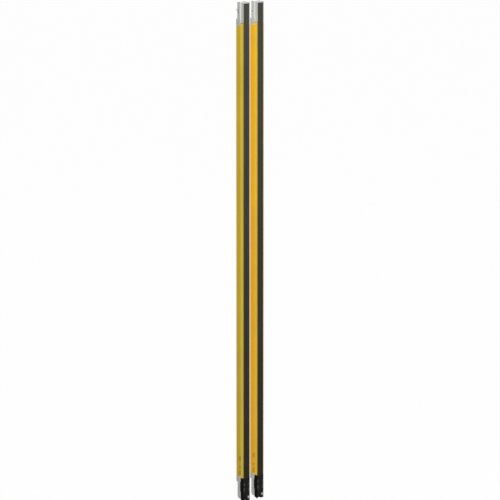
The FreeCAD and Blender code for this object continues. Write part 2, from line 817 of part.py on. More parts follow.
def socketScrew(sheet, shank, length, head, height):
    """A screw with its round head upwards and a hexagon socket in it; the thread is a plain core."""
    top = Part.makeCylinder(head, height)
    key = prism(sheet.keyRadius, 6, height - sheet.keyDepth, height + 1)
    core = prism(shank, int(sheet.screwSides), -length, 0)
    return core.fuse(top.cut(key)).removeSplitter()


def hexScrew(sheet, shank, length, head, height):
    """A screw with its hexagon head upwards; the thread is a plain core."""
    core = prism(shank, int(sheet.screwSides), -length, 0)
    return core.fuse(prism(head, 6, 0, height)).removeSplitter()


def pointed(solid, direction, spot):
    """A copy of a screw, turned so that its head faces a direction, at its place."""
    turn = FreeCAD.Rotation(FreeCAD.Vector(0, 0, 1), FreeCAD.Vector(*direction))
    there = FreeCAD.Placement(FreeCAD.Vector(*spot), turn)
    return solid.transformed(there.toMatrix(), True)


def makeFootScrews(label, sheet, barX, end):
    """Long screws through the bracket's foot into the ports of the extrusion."""
    grip = read(f"{end}FootHeight + footScrewGrip")
    head = sheet.footScrewHead
    screw = hexScrew(sheet, sheet.footScrewRadius, grip, head, sheet.footScrewHeadHeight)
    facing = (0, 0, 1) if end == "top" else (0, 0, -1)
    seat = f"{PROFILE_TOP} - topLap + topFootHeight"
    if end == "bottom":
        seat = f"{PROFILE_BASE} + bottomLap - bottomFootHeight"
    offset = read(PORT_X)
    solids = [pointed(screw, facing, (side * offset, 0, 0)) for side in (-1, 1)]
    return makeGroup(label, solids, (read(barX), read(PORT_Y), read(seat)))


def makeRearScrews(label, sheet, barX, end):
    """Screws through the bracket's web into the piece in front of it."""
    grip = sheet.bracketWeb + sheet.rearScrewGrip
    head = sheet.rearScrewHead
    screw = hexScrew(sheet, sheet.rearScrewRadius, grip, head, sheet.rearScrewHeadHeight)
    offset = read(REAR_SCREW_X)
    solids = [pointed(screw, (0, 1, 0), (side * offset, 0, 0)) for side in (-1, 1)]
    level = f"{BAR_TOP} - mountInset"
    if end == "bottom":
        level = "pegHeight + bracketRise + mountInset + mountPitch"
    return makeGroup(label, solids, (read(barX), read(WEB_BACK), read(level)))


def makeCapScrew(label, sheet, barX):
    """Screw down into the top of the end block."""
    shank = sheet.capScrewRadius
    grip = sheet.capScrewGrip
    screw = socketScrew(sheet, shank, grip, sheet.capScrewHead, sheet.capScrewHeadHeight)
    base = (read(barX), read(f"{FRONT} + capScrewInset"), read(BAR_TOP))
    return makeGroup(label, [screw], base)


def makeFrontScrew(label, sheet, barX):
    """The large flat screw that holds the foot of the module to the bracket."""
    shank = sheet.frontScrewRadius
    height = sheet.frontScrewHeadHeight
    seat = f"{FRONT} + frontScrewHeadHeight"
    length = read(f"{BLOCK_BACK} - ({seat}) + frontScrewReach")
    screw = socketScrew(sheet, shank, length, sheet.frontScrewHead, height)
    base = (read(f"{barX} + {FRONT_SCREW_X}"), read(seat), read("pegHeight + frontScrewLevel"))
    return makeGroup(label, [pointed(screw, (0, -1, 0), (0, 0, 0))], base)


def makeSideScrew(label, sheet, barX, hand):
    """Clamping screw in the outer cheek of the upper bracket."""
    shank = sheet.sideScrewRadius
    grip = sheet.cheekWall + sheet.sideScrewReach
    screw = socketScrew(sheet, shank, grip, sheet.sideScrewHead, sheet.sideScrewHeadHeight)
    base = (
        read(f"{barX} + {hand}*{HALF_WIDTH}"),
        read("sideHoleDepth - sectionDepth/2"),
        read(f"{BAR_TOP} - sideScrewInset"),
    )
    return makeGroup(label, [pointed(screw, (hand, 0, 0), (0, 0, 0))], base)


def makeBar(name, sheet, hand, diodes):
    """Every piece of one bar; hand is the side of the pair that the bar stands on."""
    barX = f"{hand}*barSpacing/2"
    pieces = [
        makeHousing(f"{name}_housing", barX),
        makeWindow(f"{name}_window", barX),
        makeWindowGasket(f"{name}_window_gasket", barX),
        makeLensStrip(f"{name}_lens_strip", barX),
        makeOpticsCarrier(f"{name}_optics_carrier", barX),
        makePlate(
            f"{name}_circuit_board",
            barX,
            f"2*({GROOVE_HALF} - grooveClearance)",
            "boardThickness",
            OPTICS_LENGTH,
            BOARD_FRONT,
            OPTICS_BASE,
        ),
        makeDiodes(f"{name}_{diodes}", sheet, barX),
        makeEndBlock(f"{name}_end_block", barX),
        makeEndGasket(f"{name}_end_gasket", barX),
        makeCapScrew(f"{name}_cap_screw", sheet, barX),
        makeModule(f"{name}_connector_module", barX),
        makeModuleGasket(f"{name}_module_gasket", barX),
        makeLamps(f"{name}_indicator_lamps", sheet, barX),
        makePlate(
            f"{name}_contact_block",
            f"{barX} + {SOCKET_LEFT} + socketWidth/2",
            "socketWidth - 2*screwClearance",
            "socketDepth - 2*screwClearance",
            "contactHeight",
            f"{SOCKET_FRONT} + screwClearance",
            "pegHeight + socketHeight",
        ),
        makePins(f"{name}_contact_pins", sheet, barX),
        makePlate(
            f"{name}_terminal_board",
            barX,
            f"2*({CHAMBER_HALF} - terminalMargin)",
            "boardThickness",
            "terminalHeight",
            f"{SHOULDER} - moduleBackWall - boardThickness",
            "pegHeight + moduleCavityFloor",
        ),
        makeFrontScrew(f"{name}_module_front_screw", sheet, barX),
        makeSideScrew(f"{name}_side_screw", sheet, barX, hand),
    ]
    for end, holder in (("top", "end_block"), ("bottom", "module_rear")):
        pieces.append(makeBracket(f"{name}_{end}_bracket", barX, end, hand))
        pieces.append(makeFootScrews(f"{name}_{end}_foot_screws", sheet, barX, end))
        pieces.append(makeRearScrews(f"{name}_{holder}_screws", sheet, barX, end))
    return pieces


def checkDocument(pieces):
    """Stops before anything is written if a feature failed or a piece is no valid solid."""
    for item in doc.Objects:
        if "Invalid" in item.State or "Error" in item.State:
            raise RuntimeError(f"{item.Name} failed: {item.State}")
    for piece in pieces:
        if piece.Shape.isNull() or not piece.Shape.isValid() or not piece.Shape.Solids:
            raise RuntimeError(f"{piece.Label} has no valid solid")


def main():
    sheet = makeSheet()
    pieces = makeBar("emitter", sheet, -1, "light_sources")
    pieces += makeBar("receiver", sheet, 1, "light_sensors")
    doc.recompute()
    checkDocument(pieces)
    os.makedirs(NODE_FOLDER, exist_ok=True)
    for piece in pieces:
        piece.Shape.exportStep(f"{NODE_FOLDER}/{piece.Label}.step")
        print(piece.Label, len(piece.Shape.Solids), round(piece.Shape.Volume, 1))


main()
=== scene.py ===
import bpy
import bmesh
import json
import math
from mathutils import Matrix, Vector


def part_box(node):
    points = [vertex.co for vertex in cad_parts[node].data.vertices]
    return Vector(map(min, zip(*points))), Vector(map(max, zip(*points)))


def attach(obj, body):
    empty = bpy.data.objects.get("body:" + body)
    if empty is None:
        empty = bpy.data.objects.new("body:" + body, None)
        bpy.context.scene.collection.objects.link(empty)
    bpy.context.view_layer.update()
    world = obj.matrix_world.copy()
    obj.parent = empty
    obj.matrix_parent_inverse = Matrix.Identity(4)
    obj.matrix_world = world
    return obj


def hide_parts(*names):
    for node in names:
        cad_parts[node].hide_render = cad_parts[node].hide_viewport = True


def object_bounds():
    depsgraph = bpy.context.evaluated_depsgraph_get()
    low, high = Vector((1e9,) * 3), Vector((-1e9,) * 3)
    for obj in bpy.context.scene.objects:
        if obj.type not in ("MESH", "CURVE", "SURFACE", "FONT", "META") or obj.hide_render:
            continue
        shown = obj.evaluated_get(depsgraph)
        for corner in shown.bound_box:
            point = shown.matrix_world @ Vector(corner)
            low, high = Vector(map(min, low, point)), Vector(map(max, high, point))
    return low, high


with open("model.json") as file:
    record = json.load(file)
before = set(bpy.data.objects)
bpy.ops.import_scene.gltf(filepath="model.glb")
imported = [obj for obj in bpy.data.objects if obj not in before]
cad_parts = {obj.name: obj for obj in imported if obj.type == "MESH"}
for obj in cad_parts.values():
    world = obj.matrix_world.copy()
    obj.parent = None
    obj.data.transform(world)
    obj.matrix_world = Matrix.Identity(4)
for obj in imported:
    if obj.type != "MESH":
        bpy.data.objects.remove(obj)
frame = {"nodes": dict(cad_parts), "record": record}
cadLow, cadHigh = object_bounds()
nodes = frame["nodes"]
mounts = {mount["name"]: mount for mount in frame["record"]["mounts"]}
bars = ("emitter", "receiver")
mm = 0.001
weld = 0.002 * mm           # corners nearer than this are merged
print("frame loaded:", len(nodes), "nodes")


cameraSet = {
    "azimuth": -46.72,      # degrees, 0 looks along +Y
    "elevation": 8.638,
    "distance": 10.5,       # metres
    "aimHeight": 0.7963,
    "focalLength": 241.4,
    "sensor": 36,
    "nearest": 0.1,
    "furthest": 200,
}


def makeCamera():
    look = cameraSet
    turn = math.radians(look["azimuth"])
    tilt = math.radians(look["elevation"])
    back = Vector((
        math.sin(turn) * math.cos(tilt), -math.cos(turn) * math.cos(tilt), math.sin(tilt),
    ))
    data = bpy.data.cameras.new("viewCamera")
    data.lens = look["focalLength"]
    data.sensor_width = look["sensor"]
    data.clip_start = look["nearest"]
    data.clip_end = look["furthest"]
    camera = bpy.data.objects.new("viewCamera", data)
    bpy.context.collection.objects.link(camera)
    camera.rotation_mode = "QUATERNION"
    camera.location = Vector((0, 0, look["aimHeight"])) + back * look["distance"]
    camera.rotation_quaternion = (-back).to_track_quat("-Z", "Y")
    bpy.context.scene.camera = camera


makeCamera()
print("camera placed")


def cornersOf(node):
    # a node's lowest and highest corner
    low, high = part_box(node)
    return Vector(low), Vector(high)


nodeSpacing = (200, -180)   # one column to the right, one row down


def addNode(tree, kind, spot, **settings):
    node = tree.nodes.new(kind)
    node.location = (spot[0] * nodeSpacing[0], spot[1] * nodeSpacing[1])
    for key, value in settings.items():
        setattr(node, key, value)
    return node


def setInputs(node, values):
    for key, value in values.items():
        node.inputs[key].default_value = value


def newGroup(name, inputs, outputs):
    # inputs come with their plain values, and every output is one value
    tree = bpy.data.node_groups.new(name, "ShaderNodeTree")
    for label, value in inputs.items():
        kind = "NodeSocketVector" if isinstance(value, tuple) else "NodeSocketFloat"
        socket = tree.interface.new_socket(name=label, in_out="INPUT", socket_type=kind)
        socket.default_value = value
    for label in outputs:
        tree.interface.new_socket(name=label, in_out="OUTPUT", socket_type="NodeSocketFloat")
    entry = addNode(tree, "NodeGroupInput", (-6, 0))
    result = addNode(tree, "NodeGroupOutput", (4, 0))
    return tree, entry, result


def useGroup(tree, group, spot, values):
    node = addNode(tree, "ShaderNodeGroup", spot, node_tree=group)
    setInputs(node, values)
    return node


def calculate(tree, spot, operation, first, second=None):
    # a Math node; each side is a socket to link or a plain number
    node = addNode(tree, "ShaderNodeMath", spot, operation=operation)
    for place, value in enumerate((first, second)):
        if value is None:
            continue
        if isinstance(value, (int, float)):
            node.inputs[place].default_value = value
        else:
            tree.links.new(value, node.inputs[place])
    return node.outputs["Value"]


def ramp(tree, spot, value, low, high, fromValue=0.0, toValue=1.0, blend="SMOOTHSTEP"):
    node = addNode(tree, "ShaderNodeMapRange", spot, interpolation_type=blend)
    setInputs(node, {"From Min": low, "From Max": high, "To Min": fromValue, "To Max": toValue})
    tree.links.new(value, node.inputs["Value"])
    return node.outputs["Result"]


def layColour(tree, spot, under, mask, colour, blend="MIX"):
    # lays a colour over what is under it, where the mask is bright; 6, 7 and 2 are colour sockets
    node = addNode(tree, "ShaderNodeMix", spot, data_type="RGBA", blend_type=blend)
    node.inputs[7].default_value = (*colour, 1)
    tree.links.new(mask, node.inputs[0])
    if isinstance(under, tuple):
        node.inputs[6].default_value = (*under, 1)
    else:
        tree.links.new(under, node.inputs[6])
    return node.outputs[2]


def noiseOn(tree, spot, vector, scale, detail, roughness=0.6, distortion=0.0):
    node = addNode(tree, "ShaderNodeTexNoise", spot)
    setInputs(node, {"Detail": detail, "Roughness": roughness, "Distortion": distortion})
    tree.links.new(vector, node.inputs["Vector"])
    tree.links.new(scale, node.inputs["Scale"])
    return node.outputs["Fac"]


def objectCoords(tree, spot):
    return addNode(tree, "ShaderNodeTexCoord", spot).outputs["Object"]


edgeSet = {
    "samples": 4,
    "sharpness": (0.995, 0.86),     # from a flat face to a sharp edge
    "detail": 3.0,
    "patches": (0.35, 0.62),
    "leastWear": 0.35,
}


def makeEdgeGroup():
    # a mask that is bright where two faces meet, broken up by noise: worn edges, and partly a
    # painted edge highlight
    look = edgeSet
    tree, entry, result = newGroup(
        "edgeWearAndHighlight", {"Radius": 0.4 * mm, "Breakup": 160.0, "Amount": 0.3}, ["Mask"],
    )
    link = tree.links.new
    bevel = addNode(tree, "ShaderNodeBevel", (-4, 0), samples=look["samples"])
    link(entry.outputs["Radius"], bevel.inputs["Radius"])
    geometry = addNode(tree, "ShaderNodeNewGeometry", (-4, 1))
    dot = addNode(tree, "ShaderNodeVectorMath", (-3, 0), operation="DOT_PRODUCT")
    link(bevel.outputs["Normal"], dot.inputs[0])
    link(geometry.outputs["Normal"], dot.inputs[1])
    edge = ramp(tree, (-2, 0), dot.outputs["Value"], *look["sharpness"])
    coords = objectCoords(tree, (-4, 2))
    noise = noiseOn(tree, (-3, 2), coords, entry.outputs["Breakup"], look["detail"])
    patch = ramp(tree, (-2, 2), noise, *look["patches"], look["leastWear"], 1.0)
    both = calculate(tree, (-1, 1), "MULTIPLY", edge, patch)
    link(calculate(tree, (0, 1), "MULTIPLY", both, entry.outputs["Amount"]), result.inputs["Mask"])
    return tree


grainSet = {
    "fine": (4.0, 0.65),            # detail and roughness of the noise
    "slow": (5.0, 0.55, 0.4),       # the same, and its distortion
    "patches": (0.3, 0.7),
    "speckSpacing": 0.3,            # as a share of the fine scale
    "speckEdge": (0.16, 0.04),
}


def makeGrainGroup():
    # fine grain for height, slow patches for colour and gloss, and sparse specks
    look = grainSet
    tree, entry, result = newGroup(
        "surfaceGrain", {"Fine Scale": 1500.0, "Patch Scale": 9.0, "Stretch": (1, 1, 1)},
        ["Height", "Patch", "Speck"],
    )
    link = tree.links.new
    coords = objectCoords(tree, (-6, 1))
    fineScale = entry.outputs["Fine Scale"]
    drawn = addNode(tree, "ShaderNodeVectorMath", (-5, 0), operation="MULTIPLY")
    link(coords, drawn.inputs[0])
    link(entry.outputs["Stretch"], drawn.inputs[1])
    fine = noiseOn(tree, (-3, 0), drawn.outputs["Vector"], fineScale, *look["fine"])
    link(fine, result.inputs["Height"])
    slow = noiseOn(tree, (-3, 1), coords, entry.outputs["Patch Scale"], *look["slow"])
    link(ramp(tree, (-1, 1), slow, *look["patches"]), result.inputs["Patch"])
    cells = addNode(tree, "ShaderNodeTexVoronoi", (-3, 2))
    link(coords, cells.inputs["Vector"])
    spacing = calculate(tree, (-4, 2), "MULTIPLY", fineScale, look["speckSpacing"])
    link(spacing, cells.inputs["Scale"])
    speck = ramp(tree, (-1, 2), cells.outputs["Distance"], *look["speckEdge"])
    link(speck, result.inputs["Speck"])
    return tree


dustSet = {
    "facing": (-0.2, 1.0),          # how far a face looks up, from least to most dust
    "leastDust": 0.35,
    "streak": (1, 1, 0.35),
    "noise": (6.0, 0.7),            # detail and roughness
    "cloud": (0.42, 0.75),
}


def makeDustGroup():
    # dust that gathers on faces that look up, with thin streaks down the sides
    look = dustSet
    tree, entry, result = newGroup("dustFilm", {"Amount": 0.3, "Scale": 30.0}, ["Mask"])
    link = tree.links.new
    geometry = addNode(tree, "ShaderNodeNewGeometry", (-5, 0))
    axes = addNode(tree, "ShaderNodeSeparateXYZ", (-4, 0))
    link(geometry.outputs["Normal"], axes.inputs["Vector"])
    upward = ramp(tree, (-3, 0), axes.outputs["Z"], *look["facing"], look["leastDust"], 1.0)
    stretch = addNode(tree, "ShaderNodeMapping", (-4, 2))
    stretch.inputs["Scale"].default_value = look["streak"]
    link(objectCoords(tree, (-5, 2)), stretch.inputs["Vector"])
    streaks = stretch.outputs["Vector"]
    noise = noiseOn(tree, (-3, 2), streaks, entry.outputs["Scale"], *look["noise"])
    cloud = ramp(tree, (-2, 2), noise, *look["cloud"])
    both = calculate(tree, (-1, 1), "MULTIPLY", upward, cloud)
    link(calculate(tree, (0, 1), "MULTIPLY", both, entry.outputs["Amount"]), result.inputs["Mask"])
    return tree


edgeGroup = makeEdgeGroup()
grainGroup = makeGrainGroup()
dustGroup = makeDustGroup()
print("shared effects ready")


def placeAlong(tree, spot, axis, middle):
    # how far along an axis a point lies, or how far from its own bar's middle
    column, row = spot
    split = addNode(tree, "ShaderNodeSeparateXYZ", spot)
    tree.links.new(objectCoords(tree, (column - 1, row)), split.inputs["Vector"])
    value = split.outputs[axis]
    if middle:
        outward = calculate(tree, (column + 1, row), "ABSOLUTE", value)
        fromMiddle = calculate(tree, (column + 2, row), "SUBTRACT", outward, middle)
        value = calculate(tree, (column + 3, row), "ABSOLUTE", fromMiddle)
    return value


# what every finish has unless it says otherwise
plainLook = {
    "spread": 0.04, "patchScale": 9.0, "stretch": (1, 1, 1), "fades": [],
    "metallic": 0.0, "specular": 0.5, "coat": 0.0, "coatRoughness": 0.12, "glossSpread": 0.05,
    "bump": 0.2, "bumpDepth": 0.1 * mm,
    "specks": 0.0, "speckShade": 0.7,
    "edgeWearAndHighlight": 0.3, "edgeRadius": 0.4 * mm, "edgeShade": 1.4, "edgeBreakup": 160.0,
    "dust": 0.1, "dustScale": 30.0, "dustColour": (0.45, 0.44, 0.42), "dustDulls": 0.5,
}


def shaded(colour, factor):
    return tuple(min(1, part * factor) for part in colour)


def makeFinish(name, wanted):
    # one surface: colour with slow patches, fades that paint light and shade, grain, edges
    # lightened as wear and as painted highlight, and a little dust
    look = {**plainLook, **wanted}
    colour = look["colour"]
    material = bpy.data.materials.new(name)
    material.use_nodes = True
    tree = material.node_tree
    link = tree.links.new
    shader = tree.nodes["Principled BSDF"]
    setInputs(shader, {
        "Metallic": look["metallic"], "Specular IOR Level": look["specular"],
        "Coat Weight": look["coat"], "Coat Roughness": look["coatRoughness"],
    })
    grain = useGroup(tree, grainGroup, (-7, 0), {
        "Fine Scale": look["grainScale"], "Patch Scale": look["patchScale"],
        "Stretch": look["stretch"],
    })
    dust = useGroup(tree, dustGroup, (-4, 3), {"Amount": look["dust"], "Scale": look["dustScale"]})
    edge = useGroup(tree, edgeGroup, (-4, 2), {
        "Radius": look["edgeRadius"], "Breakup": look["edgeBreakup"], "Amount": look["edgeWearAndHighlight"],
    })
    patch = grain.outputs["Patch"]
    darker, lighter = shaded(colour, 1 - look["spread"]), shaded(colour, 1 + look["spread"])
    layer = layColour(tree, (-6, 0), darker, patch, lighter)
    # each fade paints light or shade by where it lies on the part
    for row, fade in enumerate(look["fades"], start=5):
        along = placeAlong(tree, (-9, row), fade["axis"], fade.get("middle"))
        mask = ramp(tree, (-5, row), along, *fade["span"], blend="LINEAR")
        layer = layColour(tree, (-4, row), layer, mask, fade["tint"], "MULTIPLY")
    speck = calculate(tree, (-5, 1), "MULTIPLY", grain.outputs["Speck"], look["specks"])
    speckColour = look.get("speckColour", shaded(colour, look["speckShade"]))
    layer = layColour(tree, (-3, 1), layer, speck, speckColour)
    # edges are lightened as wear and partly as a painted edge highlight
    edgeWearAndHighlightColour = look.get("edgeWearAndHighlightColour", shaded(colour, look["edgeShade"]))
    layer = layColour(tree, (-2, 0), layer, edge.outputs["Mask"], edgeWearAndHighlightColour)
    layer = layColour(tree, (-1, 0), layer, dust.outputs["Mask"], look["dustColour"])
    link(layer, shader.inputs["Base Color"])
    gloss, vary = look["roughness"], look["glossSpread"]
    rough = ramp(tree, (-3, 4), patch, 0.0, 1.0, gloss - vary, gloss + vary)
    dull = calculate(tree, (-3, 3), "MULTIPLY", dust.outputs["Mask"], look["dustDulls"])
    link(calculate(tree, (-1, 3), "ADD", rough, dull), shader.inputs["Roughness"])
    bump = addNode(tree, "ShaderNodeBump", (-1, 5))
    setInputs(bump, {"Strength": look["bump"], "Distance": look["bumpDepth"]})
    link(grain.outputs["Height"], bump.inputs["Height"])
    link(bump.outputs["Normal"], shader.inputs["Normal"])
    return material


def fadeAlong(axis, start, end, tint, **more):
    # multiplies the colour by the tint, from nothing at the start to all of it at the end
    return {"axis": axis, "span": (start, end), "tint": tint, **more}


def grey(level):
    return (level, level, level)


# spans and tints of the fades that paint light and shade onto the finishes
fadeSet = {
    "litFrontPart": (-2.8 * mm, -3.4 * mm),    # where a fade starts and ends along Y
    "litCastRear": (-11 * mm, -2 * mm),
    "litBracketFront": (8 * mm, -2 * mm),
    "strip": (0.7 * mm, 0.5 * mm),          # the same, behind the front face
    "paintStripShade": 0.45,                     # how bright the surface is at the fade's end
    "castStripShade": 0.85,
    # painted shade: how dark the paint gets at the foot
    "foot": 0.90,
}
housingLow, housingHigh = cornersOf("emitter_housing")
barMiddle = abs(housingLow.x + housingHigh.x) / 2
wholeHeight = (cadHigh[2], cadLow[2])
stripSpan = [housingLow.y + behind for behind in fadeSet["strip"]]


def paintFades(paintedFrontLight):
    # painted light on a lighter front part before the side groove; painted shade on darker strips
    # beside the window and in a slow fall to the foot
    return [
        fadeAlong("Y", *fadeSet["litFrontPart"], paintedFrontLight),
        fadeAlong("Y", *stripSpan, grey(fadeSet["paintStripShade"])),
        fadeAlong("Z", *wholeHeight, grey(fadeSet["foot"])),
    ]


def castFades(paintedRearLight):
    # painted light: the casting is lighter towards the rear; painted shade darkens the strips
    # beside the window
    return [
        fadeAlong("Y", *fadeSet["litCastRear"], paintedRearLight),
        fadeAlong("Y", *stripSpan, grey(fadeSet["castStripShade"])),
    ]


def bracketFades(level):
    # painted highlight: a bracket is slightly lighter towards the front
    return [fadeAlong("Y", *fadeSet["litBracketFront"], grey(level))]


castLook = {
    "roughness": 0.52, "specular": 0.4, "grainScale": 1300.0, "bump": 0.35,
    "bumpDepth": 0.12 * mm, "specks": 0.35, "edgeWearAndHighlight": 0.4, "edgeRadius": 0.6 * mm,
    "edgeWearAndHighlightColour": (0.80, 0.81, 0.78),
}
bracketLook = {
    **castLook, "roughness": 0.55, "grainScale": 1100.0, "bump": 0.4, "bumpDepth": 0.14 * mm,
}
paintLook = {
    "roughness": 0.42, "specular": 0.3, "grainScale": 900.0, "stretch": (1, 1, 0.25),
    "bump": 0.25, "bumpDepth": 0.06 * mm, "edgeWearAndHighlight": 0.12, "edgeRadius": 0.5 * mm,
}
steelLook = {
    "metallic": 1.0, "grainScale": 1500.0, "edgeWearAndHighlight": 0.5, "edgeRadius": 0.3 * mm,
}
plateLook = {
    "roughness": 0.38, "specular": 0.3, "grainScale": 1600.0, "stretch": (1, 0.05, 1),
    "bump": 0.15, "bumpDepth": 0.03 * mm, "edgeRadius": 0.2 * mm,
}
finishes = {
    # the emitter's paint is darker than the receiver's: partly painted shade, partly a real
    # difference in hue
    "emitter_paint": {
        **paintLook, "colour": (0.537, 0.352, 0.010), "fades": paintFades((1.20, 1.36, 3.0)),
    },
    "receiver_paint": {
        **paintLook, "colour": (0.94, 0.485, 0.003), "fades": paintFades((0.93, 1.21, 8.0)),
    },
    # painted reflection: the window's warm tint and its fall from a lighter top to a darker foot;
    # painted highlight along its side edges
    "dark_window": {
        "colour": (0.042, 0.038, 0.028), "roughness": 0.11, "specular": 0.1,
        "grainScale": 300.0, "bump": 0.01, "bumpDepth": 0.02 * mm, "dust": 0.02,
        "glossSpread": 0.03,
        "fades": [
            fadeAlong("Z", *wholeHeight, (0.22, 0.20, 0.02)),
            fadeAlong("X", 9.6 * mm, 11.6 * mm, grey(1.7), middle=barMiddle),
        ],
    },
    # lit and shaded copies of one grey casting: the emitter's darker castings and brackets are
    # painted shade
    "emitter_cast_end": {
        **castLook, "colour": (0.392, 0.408, 0.384), "fades": castFades((2.06, 2.04, 2.06)),
    },
    "receiver_cast_end": {
        **castLook, "colour": (0.500, 0.512, 0.490), "fades": castFades(grey(1.62)),
    },
    "emitter_cast_bracket": {
        **bracketLook, "colour": (0.365, 0.375, 0.355), "fades": bracketFades(1.15),
    },
    "receiver_cast_bracket": {
        **bracketLook, "colour": (0.500, 0.508, 0.488), "fades": bracketFades(1.12),
    },
    "module_black": {
        "colour": (0.0028, 0.0028, 0.0026), "roughness": 0.5, "specular": 0.03,
        "grainScale": 1800.0, "bump": 0.3, "bumpDepth": 0.05 * mm, "edgeWearAndHighlight": 0.5,
        "edgeWearAndHighlightColour": grey(0.035), "dust": 0.02,
        # painted light: the module's front face is made lighter than its sides
        "fades": [fadeAlong("Y", -14.6 * mm, -14.95 * mm, grey(3.2))],
    },
    "black_rubber": {
        "colour": grey(0.012), "roughness": 0.75, "specular": 0.2, "grainScale": 1500.0,
        "edgeWearAndHighlight": 0.2, "dust": 0.03,
    },
    "clear_lens": {
        "colour": (0.75, 0.78, 0.78), "roughness": 0.08, "grainScale": 400.0, "bump": 0.02,
        "edgeWearAndHighlight": 0.1, "dust": 0.02, "glossSpread": 0.02,
    },
    "carrier_plastic": {
        "colour": (0.03, 0.03, 0.032), "roughness": 0.55, "grainScale": 1500.0,
    },
    "board_green": {
        "colour": (0.02, 0.12, 0.045), "roughness": 0.35, "grainScale": 700.0, "edgeWearAndHighlight": 0.4,
        "edgeWearAndHighlightColour": (0.35, 0.32, 0.18), "specks": 0.5, "speckColour": (0.5, 0.45, 0.3),
    },
    "diode_dark": {
        "colour": (0.025, 0.012, 0.03), "roughness": 0.15, "grainScale": 800.0, "edgeWearAndHighlight": 0.2,
    },
    "lamp_lens": {
        "colour": (0.024, 0.025, 0.027), "roughness": 0.22, "specular": 0.3,
        "grainScale": 900.0, "bump": 0.1, "coat": 0.1, "edgeWearAndHighlight": 0.4,
        "edgeWearAndHighlightColour": grey(0.10), "dust": 0.03,
    },
    "contact_plastic": {
        "colour": (0.02, 0.02, 0.021), "roughness": 0.45, "grainScale": 1500.0,
    },
    "contact_brass": {
        "colour": (0.72, 0.55, 0.25), "roughness": 0.28, "metallic": 1.0,
        "grainScale": 1200.0, "dust": 0.03,
    },
    "screw_steel": {
        **steelLook, "colour": (0.50, 0.50, 0.49), "roughness": 0.36, "dust": 0.08,
    },
    "bright_screw": {
        **steelLook, "colour": (0.36, 0.36, 0.355), "roughness": 0.3, "dust": 0.05,
    },
    "dark_insert": {
        "colour": (0.030, 0.030, 0.032), "roughness": 0.4, "metallic": 0.6,
        "grainScale": 1500.0, "edgeWearAndHighlight": 0.4, "edgeRadius": 0.2 * mm, "edgeWearAndHighlightColour": grey(0.2),
    },
    "emitter_plate": {**plateLook, "colour": (0.36, 0.22, 0.006)},
    "receiver_plate": {**plateLook, "colour": (0.60, 0.28, 0.003)},
}

made = {name: makeFinish(name, look) for name, look in finishes.items()}


def finishFor(bar, slotName):
    # a bar's own finish for a slot, or the one that both bars share
    return made.get(f"{bar}_{slotName}", made.get(slotName))


for name, node in nodes.items():
    for place in node.material_slots:
        place.material = finishFor(name.split("_")[0], place.material.name.split(".")[0])
print("finishes assigned")


def finishPiece(name, shape, material, replaced=None, smoothAngle=35):
    # welds, turns faces outwards, and hands the piece over in the part's own frame
    bmesh.ops.remove_doubles(shape, verts=shape.verts, dist=weld)
    bmesh.ops.recalc_face_normals(shape, faces=shape.faces)
    mesh = bpy.data.meshes.new(name)
    shape.to_mesh(mesh)
    shape.free()
    mesh.shade_smooth()
    mesh.set_sharp_from_angle(angle=math.radians(smoothAngle))
    mesh.materials.append(material)
    piece = bpy.data.objects.new(name, mesh)
    bpy.context.collection.objects.link(piece)
    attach(piece, "root")
    if replaced:
        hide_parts(replaced)


def facing(direction, spot):
    # turns a shape built along +Z to face a direction, at its place
    turn = Vector((0, 0, 1)).rotation_difference(Vector(direction)).to_matrix().to_4x4()
    return Matrix.Translation(Vector(spot)) @ turn


def settle(shape, before, matrix):
    # moves only what was added since
    fresh = [vert for vert in shape.verts if vert not in before]
    bmesh.ops.transform(shape, matrix=matrix, verts=fresh)


def addBlock(shape, size, spot=(0, 0, 0)):
    verts = bmesh.ops.create_cube(shape, size=1)["verts"]
    bmesh.ops.scale(shape, vec=size, verts=verts)
    bmesh.ops.translate(shape, vec=spot, verts=verts)
    return verts


def endFace(shape, before, way):
    # of the faces added since, the one that lies furthest that way
    fresh = (face for face in shape.faces if not set(face.verts) & before)
    return max(fresh, key=lambda face: face.calc_center_median().dot(Vector(way)))


def bevelEdges(shape, edges, offset, segments):
    bmesh.ops.bevel(
        shape, geom=list(edges), offset=offset, affect="EDGES",
        segments=segments, profile=0.5, material=-1,
    )


def insetFace(shape, face, thickness, depth=0.0):
    bmesh.ops.inset_region(
        shape, faces=[face], thickness=thickness, depth=depth, use_even_offset=True,
    )


def lathe(shape, profile, steps):
    # spins a line of (radius, height) points round Z
    points = [shape.verts.new((radius, 0, height)) for radius, height in profile]
    line = [shape.edges.new(pair) for pair in zip(points, points[1:])]
    bmesh.ops.spin(
        shape, geom=points + line, cent=(0, 0, 0), axis=(0, 0, 1), angle=math.tau,
        steps=steps, use_merge=True, use_duplicate=False,
    )


def hexagonOf(outer):
    # radius of a hexagon with that corner radius, at any angle
    flat = outer * math.cos(math.pi / 6)
    return lambda angle: flat / math.cos((angle % (math.pi / 3)) - math.pi / 6)


def circleOf(radius):
    return lambda angle: radius


def vertsIn(items):
    return [item for item in items if isinstance(item, bmesh.types.BMVert)]


def growSkin(shape, steps, levels):
    # a skin through rings at (height, radius for an angle); gives back its first and last ring
    verts = bmesh.ops.create_circle(shape, segments=steps, radius=1, cap_ends=False)["verts"]
    first = ring = list(dict.fromkeys(edge for vert in verts for edge in vert.link_edges))
    for step, (height, radiusAt) in enumerate(levels):
        if step:
            grown = bmesh.ops.extrude_edge_only(shape, edges=ring)["geom"]
            verts = set(vertsIn(grown))
            edges = (item for item in grown if isinstance(item, bmesh.types.BMEdge))
            ring = [edge for edge in edges if set(edge.verts) <= verts]
        for vert in verts:
            angle = math.atan2(vert.co.y, vert.co.x)
            vert.co = Vector((math.cos(angle), math.sin(angle), 0)) * radiusAt(angle)
            vert.co.z = height
    return first, ring


